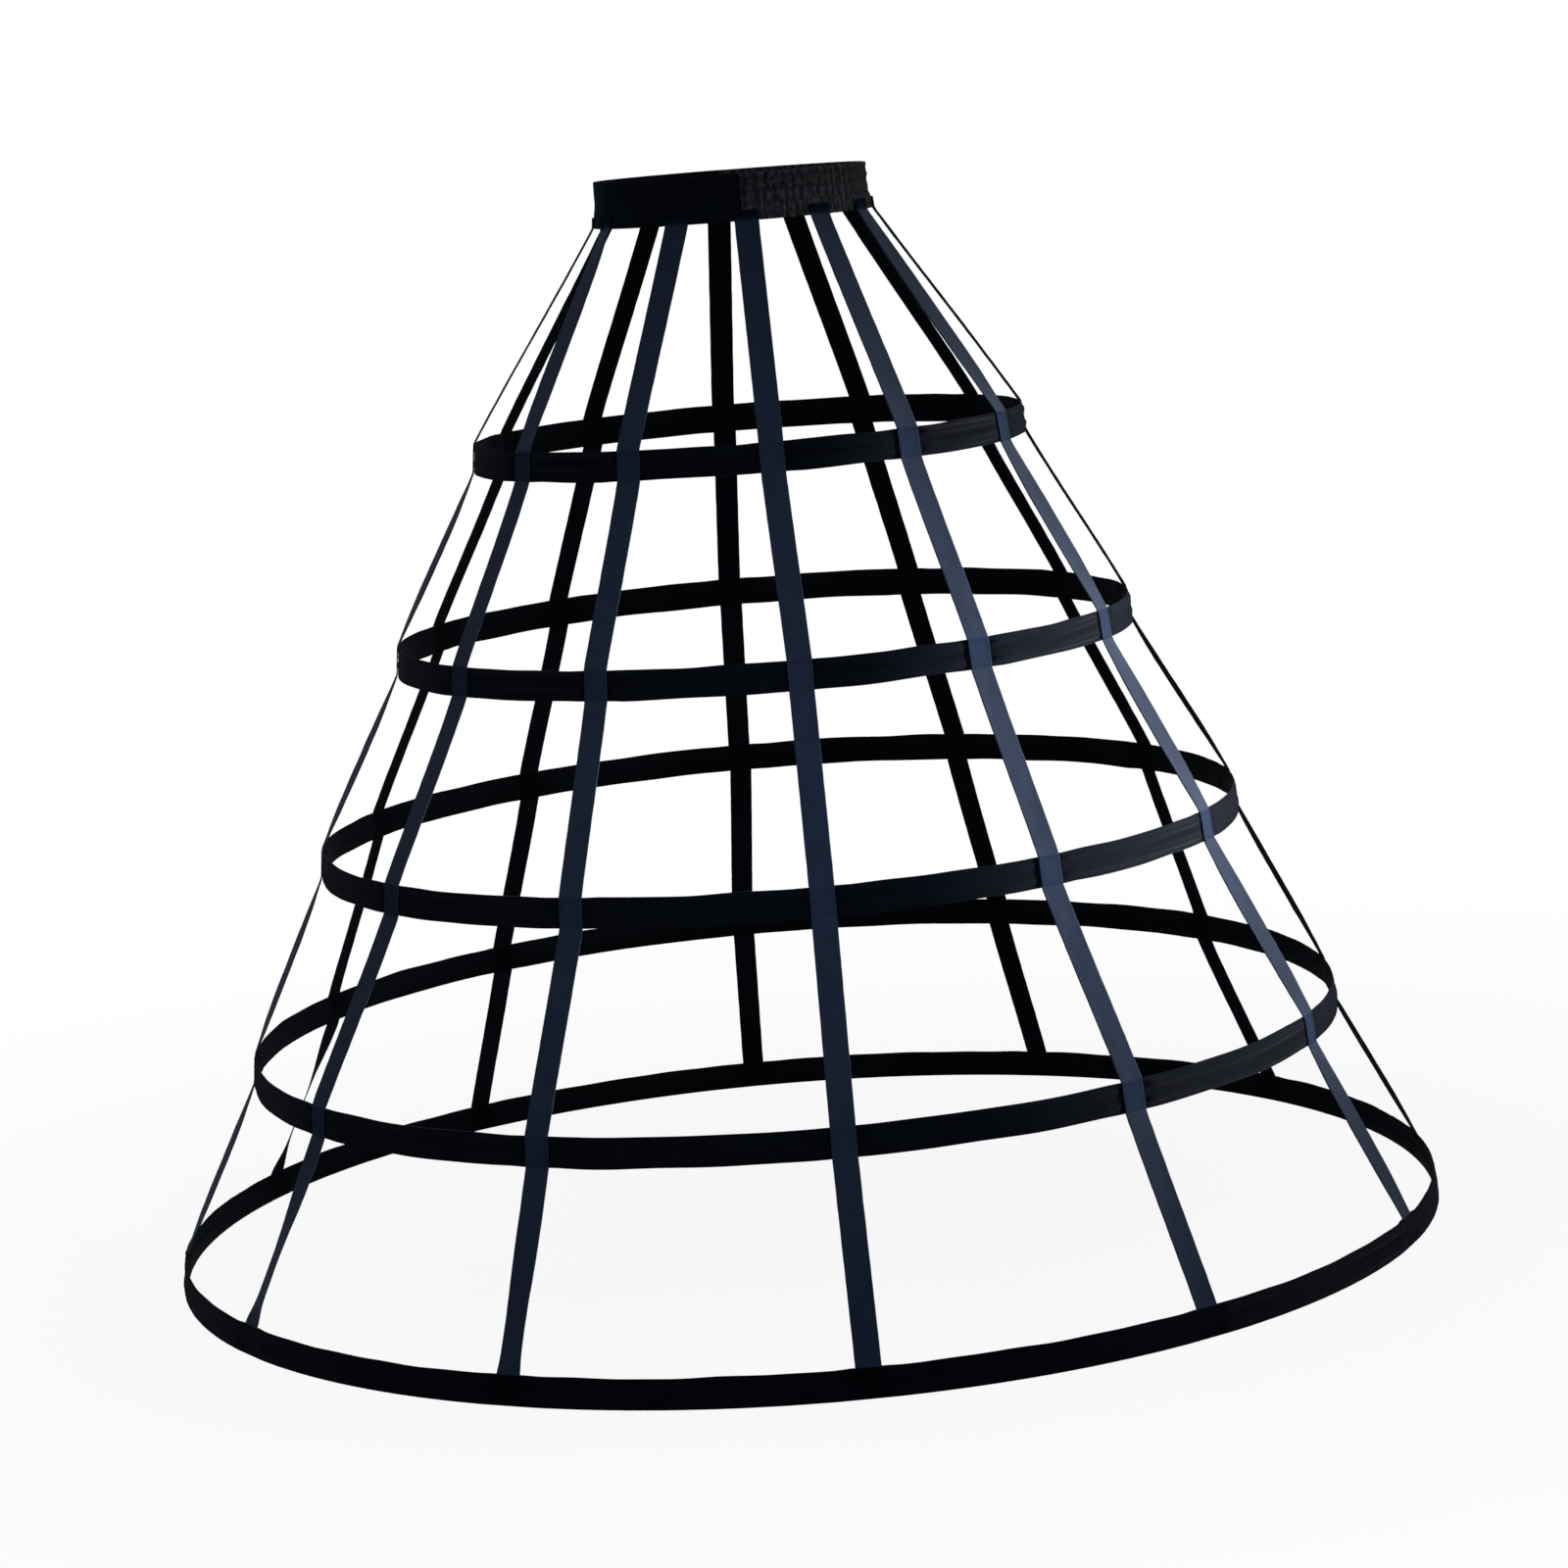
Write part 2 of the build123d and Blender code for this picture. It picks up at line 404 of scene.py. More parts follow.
def stitch_piece(name, starts, ends, normals):
    """Short threads from starts to ends, which are lists of arrays, sunk at both ends and raised between."""
    starts, ends, normals = (np.concatenate(part) for part in (starts, ends, normals))
    forward = ends - starts
    forward /= np.linalg.norm(forward, axis=1, keepdims=True)
    aside = np.cross(normals, forward)
    aside /= np.linalg.norm(aside, axis=1, keepdims=True)
    above = np.cross(forward, aside)
    rings = []
    for along, thick, rise in stitch_rings_share:
        middle = starts + (ends - starts) * along + above * thread_radius * rise
        for side in range(thread_sides):
            turn = tau * (side + 0.5) / thread_sides
            rings.append(middle + (aside * math.cos(turn) + above * math.sin(turn)) * thread_radius * thick)
    points = np.stack(rings, axis=1)
    first = np.arange(thread_sides)
    last = first + points.shape[1] - thread_sides
    around = grid_faces(len(stitch_rings_share), thread_sides, closed=True)
    one = np.concatenate([around, [first[::-1], last]])
    faces = (one[None] + (np.arange(len(points)) * points.shape[1])[:, None, None]).reshape(-1, one.shape[1])
    return make_piece(name, points, faces, [thread])


# Places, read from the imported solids


def read_hoop(number):
    """A hoop's casing: its lower outer edge as radius and height, its height along the cloth, the ways up and
    out of it, and the angle at which its bone is joined."""
    points = node_points(f"hoop_casing_{number}")
    reach = np.hypot(points[:, 0], points[:, 1])
    low, high = reach.argmax(), points[:, 2].argmax()
    lower = np.array([reach[low], points[low, 2]])
    rise = np.array([reach[high], points[high, 2]]) - lower
    joiner = node_points(f"hoop_joiner_{number}").mean(axis=0)
    up = rise / np.linalg.norm(rise)
    return {
        "number": number,
        "lower": lower,
        "height": np.linalg.norm(rise),
        "up": up,
        "out": np.array([up[1], -up[0]]),
        "joint": math.atan2(joiner[1], joiner[0]),
    }


def read_tape(number):
    """A tape's bends from the top down, as radius, height and angle, where it would lie flat on the hoops."""
    points = node_points(f"tape_{number:02d}")
    heights = np.unique(points[:, 2].round(bend_decimals))[::-1]
    bends = np.array([points[np.abs(points[:, 2] - z) < same_height].mean(axis=0) for z in heights])
    angles = np.arctan2(bends[:, 1], bends[:, 0])
    turned = tape_half_width * np.abs(np.sin(angles - angles[-1]))
    return np.stack([np.hypot(bends[:, 0], bends[:, 1]) - turned, bends[:, 2], angles], axis=1)


hoops = [read_hoop(number) for number in range(1, hoop_count + 1)]
tapes = {number: read_tape(number) for number in range(1, tape_count + 1)}
# Where the tapes cross each hoop, in the order of their angles
for hoop in hoops:
    first_bend = 2 * hoop["number"]
    angles = {number: t[first_bend : first_bend + 2, 2].mean() % tau for number, t in tapes.items()}
    hoop["order"] = sorted(angles, key=angles.get)
    hoop["crossings"] = np.array([angles[number] for number in hoop["order"]])
band_low, band_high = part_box("waistband_front")
band_bottom, band_top = band_low.z, band_high.z
band_height = band_top - band_bottom
band_outside = np.hypot(*node_points("waistband_front")[:, :2].T).max()
band_inside = np.hypot(*node_points("waistband_front")[:, :2].T).min()
gather_outside = np.hypot(*node_points("waistband_back")[:, :2].T).max()
front_rows = (band_bottom + low_row, band_top - high_row)
back_rows = [band_bottom + share * band_height for share in gather_rows_share]


def flare(height):
    """How far the waistband stands out towards its lower edge, where the tapes pull."""
    return band_flare * smooth_step(1 - (height - band_bottom) / (flare_share * band_height))


# Materials


def put(tree, socket, value):
    """Sets a socket to a value, or links it to another node's output."""
    if isinstance(value, bpy.types.NodeSocket):
        tree.links.new(value, socket)
    else:
        socket.default_value = value


def feed(tree, node, **inputs):
    """Sets or links a node's inputs by name, with _ for a space."""
    for name, value in inputs.items():
        put(tree, node.inputs[name.replace("_", " ")], value)
    return node


def add_node(tree, kind, **inputs):
    return feed(tree, tree.nodes.new(kind), **inputs)


def math_node(tree, operation, *values):
    node = tree.nodes.new("ShaderNodeMath")
    node.operation = operation
    for socket, value in zip(node.inputs, values):
        put(tree, socket, value)
    return node.outputs["Value"]


def noise(tree, place, **settings):
    return add_node(tree, "ShaderNodeTexNoise", Vector=place, **settings).outputs["Fac"]


def relief(tree, height, strength):
    """A normal for small bumps that follow a height from 0 to about 1."""
    node = add_node(tree, "ShaderNodeBump", Height=height, Strength=strength, Distance=relief_depth)
    return node.outputs["Normal"]


def mix_colour(tree, factor, first, second):
    mix = tree.nodes.new("ShaderNodeMix")
    mix.data_type = "RGBA"
    feed(tree, mix, Factor=factor, A=(*first, 1), B=(*second, 1))
    return mix.outputs["Result"]


def mix_shader(tree, factor, first, second):
    mix = tree.nodes.new("ShaderNodeMixShader")
    for socket, value in zip(mix.inputs, (factor, first, second)):
        put(tree, socket, value)
    return mix.outputs["Shader"]


def tone_range(tree, value, colour, spread):
    """A colour between a darker and a lighter tone of the same one, by a value from 0 to 1."""
    darker, lighter = ([c * scale for c in colour] for scale in (1 - spread, 1 + spread))
    return mix_colour(tree, value, darker, lighter)


def new_material(name):
    material = bpy.data.materials.new(name)
    material.use_nodes = True
    tree = material.node_tree
    return material, tree, tree.nodes["Principled BSDF"]


def wave_bands(tree, uv, pitch, turn, direction):
    """Fine parallel ribs across a cloth, at a pitch in metres and a turn in degrees."""
    turned = add_node(tree, "ShaderNodeMapping", Vector=uv, Rotation=(0, 0, math.radians(turn)))
    wave = add_node(
        tree,
        "ShaderNodeTexWave",
        Vector=turned.outputs["Vector"],
        Scale=tau / wave_texture_turn / pitch,
        Distortion=rib_distortion,
        Detail=rib_detail,
        Detail_Scale=rib_detail_scale,
    )
    wave.bands_direction = direction
    return wave.outputs["Fac"]


def cloth_material(name, colour, weave, gloss=cloth_gloss, sheen=0.0, sheen_tint=white):
    """A woven cloth, darker or lighter by the painted shade and painted highlight of its mesh. Where it has
    two sets of ribs, they multiply.
    """
    material, tree, shader = new_material(name)
    uv = tree.nodes.new("ShaderNodeUVMap")
    uv.uv_map = "cloth"
    bands = [wave_bands(tree, uv.outputs["UV"], *one) for one in weave]
    ribs = bands[0]
    for band in bands[1:]:
        ribs = math_node(tree, "MULTIPLY", ribs, band)
    place = tree.nodes.new("ShaderNodeTexCoord").outputs["Object"]
    patches = noise(tree, place, Scale=patch_scale, Detail=patch_detail, Roughness=patch_roughness)
    fibres = noise(tree, place, Scale=fibre_scale, Detail=fibre_detail)
    tone = math_node(tree, "MULTIPLY_ADD", ribs, rib_tone_share, patches)
    # Painted shade: the colour is scaled by the mesh's shade attribute
    shade = tree.nodes.new("ShaderNodeAttribute")
    shade.attribute_name = "shade"
    shaded = tree.nodes.new("ShaderNodeVectorMath")
    shaded.operation = "SCALE"
    feed(tree, shaded, Vector=tone_range(tree, tone, colour, cloth_tones_share), Scale=shade.outputs["Fac"])
    smoothest, roughest = cloth_roughness
    rough = add_node(tree, "ShaderNodeMapRange", Value=fibres, To_Min=smoothest, To_Max=roughest)
    fuzz = math_node(tree, "MULTIPLY_ADD", fibres, fibre_relief_share, ribs)
    feed(
        tree,
        shader,
        Base_Color=shaded.outputs["Vector"],
        Roughness=rough.outputs["Result"],
        Normal=relief(tree, fuzz, cloth_relief),
        Specular_IOR_Level=gloss,
        Sheen_Weight=sheen,
        Sheen_Roughness=sheen_roughness,
        Sheen_Tint=(*sheen_tint, 1),
    )
    return material


def stiff_material(name, colour, roughness, metal):
    """A hidden stiff piece: drawn or moulded stock with faint streaks along its length."""
    material, tree, shader = new_material(name)
    place = tree.nodes.new("ShaderNodeTexCoord").outputs["Object"]
    stretched = add_node(tree, "ShaderNodeMapping", Vector=place, Scale=streak_stretch)
    streaks = noise(tree, stretched.outputs["Vector"], Scale=streak_scale, Detail=streak_detail)
    feed(
        tree,
        shader,
        Base_Color=tone_range(tree, streaks, colour, streak_tones_share),
        Roughness=roughness,
        Metallic=metal,
        Normal=relief(tree, streaks, streak_relief),
    )
    return material


tape_face = cloth_material("tape_face", tape_blue, twill, sheen=tape_sheen)
# A darker copy of the tape's face without its sheen, for painted shade on the sewn stretches and laps
tape_sewn_shaded = cloth_material("tape_sewn_shaded", tape_blue, twill)
tape_back = cloth_material("tape_back", tape_back_blue, twill)
casing_face = cloth_material("casing_face", casing_black, plain_weave, 0.0, casing_sheen, violet)
casing_lining = cloth_material("casing_lining", lining_black, plain_weave)
band_face = cloth_material("band_face", band_black, plain_weave)
shirred_face = cloth_material("shirred_face", shirred_grey, plain_weave)
elastic_face = cloth_material("elastic_face", elastic_black, ribbed)
thread = cloth_material("thread", thread_black, twisted, thread_gloss)
bone_finish = stiff_material("bone_finish", bone_white, bone_roughness, 0.0)
joiner_finish = stiff_material("joiner_finish", joiner_grey, joiner_roughness, 1.0)


# Casings


def casing_bays(hoop, angle):
    """For places round a hoop: which bay between tapes, the share of the way across it, and metres to the
    nearest edge of a tape."""
    crossings = hoop["crossings"]
    turned = (angle - crossings[0]) % tau + crossings[0]
    bay = np.searchsorted(crossings, turned, side="right") - 1
    start = crossings[bay]
    end = np.append(crossings[1:], crossings[0] + tau)[bay]
    share = (turned - start) / (end - start)
    nearest = np.minimum(turned - start, end - turned) * hoop["lower"][0]
    return bay, share, nearest - tape_half_width


def looseness(hoop, angle):
    """0 at a tape, which holds the casing flat, to 1 where the casing is free of it."""
    return smooth_step(casing_bays(hoop, angle)[2] / calm_reach)


def folds(hoop, layer, angle, up):
    """Slack cloth between the tapes: soft folds that run along the casing and fade out at the tapes."""
    rng = random_for(fold_stream, hoop["number"], layer)
    size = (tape_count, fold_count)
    bay, share, _ = casing_bays(hoop, angle)
    begin = rng.uniform(*fold_starts_share, size)
    end = np.clip(begin + rng.normal(0, fold_drift_share, size), *fold_limits_share)
    height = rng.uniform(*fold_heights_share, size) * fold_height
    spread = rng.uniform(*fold_spreads_share, size) * fold_spread
    before, after = rng.uniform(*fold_powers, size), rng.uniform(*fold_powers, size)
    peak = before / (before + after)
    total = 0
    for number in range(fold_count):
        one = (bay, number)
        rise = (share / peak[one]) ** before[one] * ((1 - share) / (1 - peak[one])) ** after[one]
        centre = (begin[one] + (end[one] - begin[one]) * share) * hoop["height"]
        total = total + rise * height[one] * bump(up, centre, spread[one])
    return total


def ridges(hoop, layer, angle, up):
    """Pairs of ridges that run out from each tape along the casing, where the tape holds the cloth short.

    Gives how far they stand out, and how deep the groove between them is, from 0 to 1."""
    rng = random_for(ridge_stream, hoop["number"], layer)
    bay, share, _ = casing_bays(hoop, angle)
    crossings = hoop["crossings"]
    length = np.diff(np.append(crossings, crossings[0] + tau))[bay] * hoop["lower"][0]
    held_back = tape_half_width + ridge_start
    gaps = [np.maximum(way * length - held_back, 0) for way in (share, 1 - share)]
    held = smooth_step(gaps[0] / ridge_rise) * smooth_step(gaps[1] / ridge_rise)
    before_tight = hoop["order"].index(tight_tape) - 1
    total, groove = 0, 0
    for side, gap in enumerate(gaps):
        strength = rng.uniform(*ridge_strengths_share, tape_count)
        reach = ridge_reach * rng.uniform(*ridge_reaches_share, tape_count)
        if side == 1:
            strength[before_tight] = 1.0
            reach[before_tight] = tight_reach
        rise = strength[bay] * held * np.exp(-((gap / reach[bay]) ** 2))
        centres = []
        for place in ridge_places_share:
            drift = rng.normal(0, ridge_drift_share, tape_count)[bay] * gap / length
            centres.append(np.clip(place + drift, *ridge_limits_share) * hoop["height"])
            total = total + ridge_height * rise * bump(up, centres[-1], ridge_spread)
        groove = groove + rise * bump(up, sum(centres) / len(centres), ridge_spread)
    return total, groove


def casing_floor(hoop):
    """How far up a casing the pocket of its bone starts."""
    return casing_cloth if hoop["number"] == hoop_count else (hoop["height"] - pocket_height) / 2


def casing_slack(hoop, layer, angle, up):
    """How far a casing's cloth stands off its sewn form: folds, ridges, crumples and pinches."""
    rng = random_for(casing_stream, hoop["number"], layer)
    along = angle * hoop["lower"][0]
    gap = casing_bays(hoop, angle)[2]
    loose = looseness(hoop, angle)
    pinch = pinch_height * swell(tau * up / pinch_length + wander(along, rng, pinch_drift_lengths))
    pinch = pinch * np.exp(-np.maximum(gap, 0) / pinch_reach) * smooth_step(gap / pinch_start)
    rough = crumple_height * crumple(along, up, rng, crumple_lengths)
    sewn = bump(up, hem_row, hem_width) + bump(up, hoop["height"] - hem_row, hem_width)
    slack = loose * folds(hoop, layer, angle, up) + ridges(hoop, layer, angle, up)[0]
    return slack * (1 - sewn) + loose * rough + pinch - hem_dimple * sewn * loose


def casing_layer_out(hoop, layer, angle, up):
    """How far out the middle of a casing's cloth lies, in the outer layer (0) or behind the bone (1)."""
    slack = casing_slack(hoop, layer, angle, up)
    loose = looseness(hoop, angle)
    floor = casing_floor(hoop)
    ceiling = floor + pocket_height
    over_bone = smooth_step((up - floor + pocket_rise) / pocket_rise)
    over_bone = over_bone * smooth_step((ceiling + pocket_rise - up) / pocket_rise)
    if layer == 0:
        return slack + bone_bulge * loose * over_bone - casing_cloth / 2
    flat = -(casing_cloth + casing_cloth / 2)
    behind = flat - pocket_depth * over_bone
    if hoop["number"] == hoop_count:
        low = smooth_step((ceiling - up) / (pocket_low_share * pocket_height))
        behind = np.minimum(behind, flat - pocket_depth * low)
        mouth = smooth_step((up - hoop["height"] + slot_depth + slot_rise) / slot_rise)
        behind = behind - slot_room * (1 - loose) * (1 - over_bone) * mouth
    return behind - np.maximum(slack, -hem_dimple)


def casing_point(hoop, layer, angle, up, proud=0.0):
    """A point of a casing's cloth, standing proud of its middle by a distance away from the bone."""
    rng = random_for(edge_stream, hoop["number"])
    along = angle * hoop["lower"][0]
    top_wave, low_wave = wander(along, rng, edge_wave_lengths), wander(along, rng, edge_wave_lengths)
    if hoop["number"] == hoop_count:
        low_wave = 0 * low_wave
    share = up / hoop["height"]
    out = casing_layer_out(hoop, layer, angle, up) + (proud if layer == 0 else -proud)
    wave = edge_wave * looseness(hoop, angle)
    lifted = up + wave * (top_wave * share**2 + low_wave * (1 - share) ** 2)
    radius, height = (
        hoop["lower"][axis] + hoop["out"][axis] * out + hoop["up"][axis] * lifted for axis in range(2)
    )
    if hoop["number"] == hoop_count:
        height = np.maximum(height, casing_cloth / 2)
    return polar(radius, angle, height)


def casing_angles(hoop):
    """Places round a casing, from one side of its seam to the other, and closer together beside the tapes."""
    radius = hoop["lower"][0]
    start = hoop["joint"] + casing_gap / radius / 2
    whole = tau - casing_gap / radius
    even = np.linspace(0, whole, math.ceil(tau * radius / casing_step))
    aside = (tape_half_width + np.array(edge_steps)) / radius
    beside = (hoop["crossings"][:, None] + np.append(aside, -aside) - start) % tau
    places = np.unique(np.append(even, beside[beside < whole]))
    apart = np.append(True, np.diff(places) * radius > least_step)
    apart[-1] = True
    return start + places[apart][:, None]


def inner_heights(hoop):
    """Heights up the layer behind the bone, at the bends of its pocket and, in the bottom hoop, of the slot
    for the tapes' ends."""
    floor = casing_floor(hoop)
    bends = floor + np.array([-pocket_rise, -pocket_rise / 2, 0, pocket_height / 2])
    bends = np.append(bends, floor + pocket_height + np.array([0, pocket_rise / 2, pocket_rise]))
    slot = hoop["height"] - slot_depth - np.array([slot_rise, slot_rise / 2, 0])
    ends = np.array([0, hoop["height"]])
    rows = np.concatenate([bends, slot, ends] if hoop["number"] == hoop_count else [bends, ends])
    return np.unique(np.clip(rows, 0, hoop["height"]))[None]


def make_casing(hoop):
    """A strip of cloth folded round the bone and sewn at both edges, or in the bottom hoop at the top."""
    number, radius, height = hoop["number"], hoop["lower"][0], hoop["height"]
    angle = casing_angles(hoop)
    outer_up = height * np.linspace(1, 0, casing_rows)[None]
    inner_up = inner_heights(hoop)
    layers = [casing_point(hoop, 0, angle, outer_up), casing_point(hoop, 1, angle, inner_up)]
    points = np.concatenate(layers, axis=1)
    count, columns = points.shape[:2]
    across = np.concatenate([-outer_up[0], inner_up[0]])
    uvs = np.stack(np.broadcast_arrays(angle * radius, across[None]), axis=-1)
    faces = grid_faces(count, columns)[:, ::-1]
    lining = np.tile(np.arange(columns - 1) >= casing_rows, count - 1)
    # Painted shade: the casing is darker beside each tape, as its painted shadow, and in the groove between
    # ridges
    gap = np.maximum(casing_bays(hoop, angle)[2], 0)
    groove = np.zeros((count, columns))
    groove[:, :casing_rows] = ridges(hoop, 0, angle, outer_up)[1]
    shade = (1 - tape_shadow_share * np.exp(-gap / tape_shadow_reach)) * (1 - groove_shade_share * groove)
    piece = make_piece(f"casing_{number}", points, faces, [casing_face, casing_lining], uvs, lining, shade)
    thicken(piece, casing_cloth)
    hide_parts(f"hoop_casing_{number}")
    rows = (hem_row, height - hem_row) if number < hoop_count else (height - hem_row,)
    seam = make_casing_stitches(hoop, rows)


def make_casing_stitches(hoop, rows):
    """Rows of running stitch through both layers, seen on the outside and on the inside."""
    radius = hoop["lower"][0]
    count = int(tau * radius / stitch_pitch)
    start = hoop["joint"] + tau * (np.arange(count)[:, None] + stitch_start_share) / count
    end = start + stitch_length / radius
    middle = (start + end)[:, 0] / 2
    starts, ends, normals = [], [], []
    for row in rows:
        up = np.full((1, 1), row)
        for layer, sign in ((0, 1), (1, -1)):
            starts.append(casing_point(hoop, layer, start, up, casing_cloth / 2)[:, 0])
            ends.append(casing_point(hoop, layer, end, up, casing_cloth / 2)[:, 0])
            normals.append(sign * polar(hoop["out"][0], middle, hoop["out"][1]))
    return stitch_piece(f"casing_stitches_{hoop['number']}", starts, ends, normals)


# Tapes


def tape_line(number):
    """Points down the middle of a tape, and for each the stretch that it is on and the share along it.

    Even stretches are sewn down, on the waistband and on each hoop, and odd ones hang between them."""
    bends = tapes[number].copy()
    bends[:-2, 0] += tape_lift
    bends[:2, 0] += flare(bends[:2, 1])
    knots = polar(bends[:, 0], bends[:, 2], bends[:, 1])
    line, stretch, shares = [], [], []
    for index in range(len(knots) - 1):
        start, end = knots[index], knots[index + 1]
        chord = end - start
        length = np.linalg.norm(chord)
        sewn = index % 2 == 0
        steps = max(least_steps, math.ceil(length / (sewn_step if sewn else free_step)))
        share = np.linspace(0, 1, steps + 1)[:-1]
        s = share[:, None]
        part = start + chord * s
        if not sewn:
            slack = slack_shares[index // 2]
            above, below = start - knots[index - 1], knots[index + 2] - end
            leave = chord * (1 - slack) + above / np.linalg.norm(above) * length * slack
            arrive = chord * (1 - arrive_share) + below / np.linalg.norm(below) * length * arrive_share
            # a cubic curve that starts and ends by these two ways
            part = start * (2 * s**3 - 3 * s**2 + 1) + leave * (s**3 - 2 * s**2 + s)
            part = part + end * (3 * s**2 - 2 * s**3) + arrive * (s**3 - s**2)
        line.append(part)
        stretch.append(np.full(steps, index))
        shares.append(share)
    line = np.concatenate([*line, knots[-1:]])
    line[1:-1] = bend_share * (line[:-2] + line[2:]) + (1 - 2 * bend_share) * line[1:-1]
    return line, np.append(np.concatenate(stretch), len(knots) - 2), np.append(np.concatenate(shares), 1)


def tape_frame(number):
    """A tape's middle line, the ways across and out of it, its stretches, and the metres run so far."""
    line, stretch, share = tape_line(number)
    along = np.gradient(line, axis=0)
    along /= np.linalg.norm(along, axis=1, keepdims=True)
    out = line * (1, 1, 0)
    out -= (out * along).sum(axis=1, keepdims=True) * along
    out /= np.linalg.norm(out, axis=1, keepdims=True)
    across = np.cross(along, out)
    turn = np.zeros(len(line))
    for hoop_below, (degrees, where) in tape_turns.get(number, {}).items():
        power = where / (1 - where)
        rise = (share / where) ** power * (1 - share) / (1 - where)
        turn += np.where(stretch == 2 * hoop_below - 1, math.radians(degrees) * smooth_step(rise), 0)
    cosine, sine = np.cos(turn)[:, None], np.sin(turn)[:, None]
    run = np.append(0, np.cumsum(np.linalg.norm(np.diff(line, axis=0), axis=1)))
    return line, across * cosine + out * sine, out * cosine - across * sine, stretch, run


def make_tape(number):
    """A woven tape with thicker selvedges, sewn flat to the hoops and a little slack between them."""
    line, across, out, stretch, run = tape_frame(number)
    rng = random_for(tape_stream, number)
    hanging = (stretch % 2 == 1).astype(float)
    free = smooth_step(np.convolve(hanging, np.ones(ease_points) / ease_points, mode="same"))[:, None]
    share = np.array(tape_columns_share)
    aside = share * tape_half_width
    bead = 1 + selvedge_share * bump(np.abs(aside), tape_half_width - selvedge_width / 2, selvedge_width)
    curl = tape_curl * wander(run, rng, tape_curl_lengths)[:, None] * (share**2 - curl_centre_share)
    ripple = tape_ripple * crumple(run[:, None], aside[None], rng, tape_ripple_lengths)
    edge = tape_edge_wave * wander(run, rng, tape_edge_lengths)[:, None]
    middle = line[:, None] + across[:, None] * (aside[None] + edge)[..., None]
    middle = middle + out[:, None] * ((curl + ripple) * free)[..., None]
    thick = out[:, None] * (bead * tape_cloth / 2)[None, :, None]
    points = np.concatenate([middle + thick, (middle - thick)[:, ::-1]], axis=1)
    count, columns = points.shape[:2]
    uvs = np.stack(np.broadcast_arrays(run[:, None], np.append(aside, aside[::-1])[None]), axis=-1)
    sides = len(share)
    pair = np.arange(sides - 1)
    cap = np.stack([pair, pair + 1, columns - 2 - pair, columns - 1 - pair], axis=1)
    around = grid_faces(count, columns, closed=True)
    faces = np.concatenate([around, cap[:, ::-1], cap + (count - 1) * columns])
    cloths = [tape_face, tape_sewn_shaded, tape_back]
    face, sewn, back = range(len(cloths))
    column = np.arange(columns)
    behind = np.tile((column >= sides) & (column < columns - 1), count - 1)
    pressed = np.repeat(stretch[:-1] % 2 == 0, columns)
    around_cloths = np.where(behind, back, np.where(pressed, sewn, face))
    face_materials = np.append(around_cloths, np.full(2 * len(cap), sewn))
    # Painted light and shade: laps much darker, stretches on the hoops a little lighter, easing back to 1
    # where the tape hangs free
    held = np.where(stretch == 0, lap_shade_share, sewn_shade_share)
    shade = np.repeat(held[:, None] + (1 - held[:, None]) * free, columns, axis=1)
    piece = make_piece(f"woven_tape_{number:02d}", points, faces, cloths, uvs, face_materials, shade)
    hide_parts(f"tape_{number:02d}")
    tacks = make_tacks(number, line, across, out, stretch, run)


def make_tacks(number, line, across, out, stretch, run):
    """A stitched box where a tape crosses a hoop, but the last, and two rows where it laps the waistband."""

    def at(where, aside):
        """Points on the tape's face, this far along it and aside from its middle."""
        middle, side, away = (
            np.stack([np.interp(where, run, part[:, axis]) for axis in range(3)], axis=-1)
            for part in (line, across, out)
        )
        return middle + side * aside[:, None] + away * tape_cloth / 2, away

    inset = tape_half_width - tack_inset
    starts, ends, normals = [], [], []

    def sew(where, aside, where_end, aside_end):
        first, away = at(where, aside)
        starts.append(first)
        ends.append(at(where_end, aside_end)[0])
        normals.append(away)

    for index in range(0, 2 * hoop_count, 2):
        top = run[stretch == index][0] + tack_inset
        low = run[stretch == index + 1][0] - tack_inset
        begin = np.arange(-inset, inset - fine_stitch_length, fine_stitch_pitch)
        for row in (top, low):
            level = np.full(len(begin), row)
            sew(level, begin, level, begin + fine_stitch_length)
        if index == 0:
            continue
        begin = np.arange(top, low - fine_stitch_length, fine_stitch_pitch)
        for side in (-inset, inset):
            level = np.full(len(begin), side)
            sew(begin, level, begin + fine_stitch_length, level)
    return stitch_piece(f"tape_stitches_{number:02d}", starts, ends, normals)


# Waistband


def band_columns(levels, fold, rows):
    """Heights up the outside, over the fold at the top and down the inside, and 0 to 1 for out to in.

    The heights next to the rows of stitches are moved onto them."""
    bend = np.linspace(0, math.pi, turnover_steps + 1)[1:-1]
    outside = np.linspace(band_bottom, band_top - fold, levels)
    for row in rows:
        outside[np.abs(outside - row).argmin()] = row
    heights = np.concatenate([outside, band_top - fold + fold * np.sin(bend), outside[::-1]])
    inwards = np.concatenate([np.zeros(levels), (1 - np.cos(bend)) / 2, np.ones(levels)])
    return heights[None], inwards[None]


def front_point(angle, height, inward, proud=0.0):
    """A point of the flat half: two smooth layers, folded at the top, dimpled along their stitches."""
    rng = random_for(front_stream)
    outer, inner = band_outside - band_cloth / 2, band_inside + band_cloth / 2
    rough = band_ripple * crumple(angle * outer, height, rng, band_ripple_lengths)
    for row in front_rows:
        rough = rough - row_dimple * bump(height, row, row_dimple_width)
    radius = outer + (inner - outer) * inward + rough * (1 - 2 * inward) + flare(height)
    return polar(radius + proud * (1 - 2 * inward), angle, height + 0 * angle)


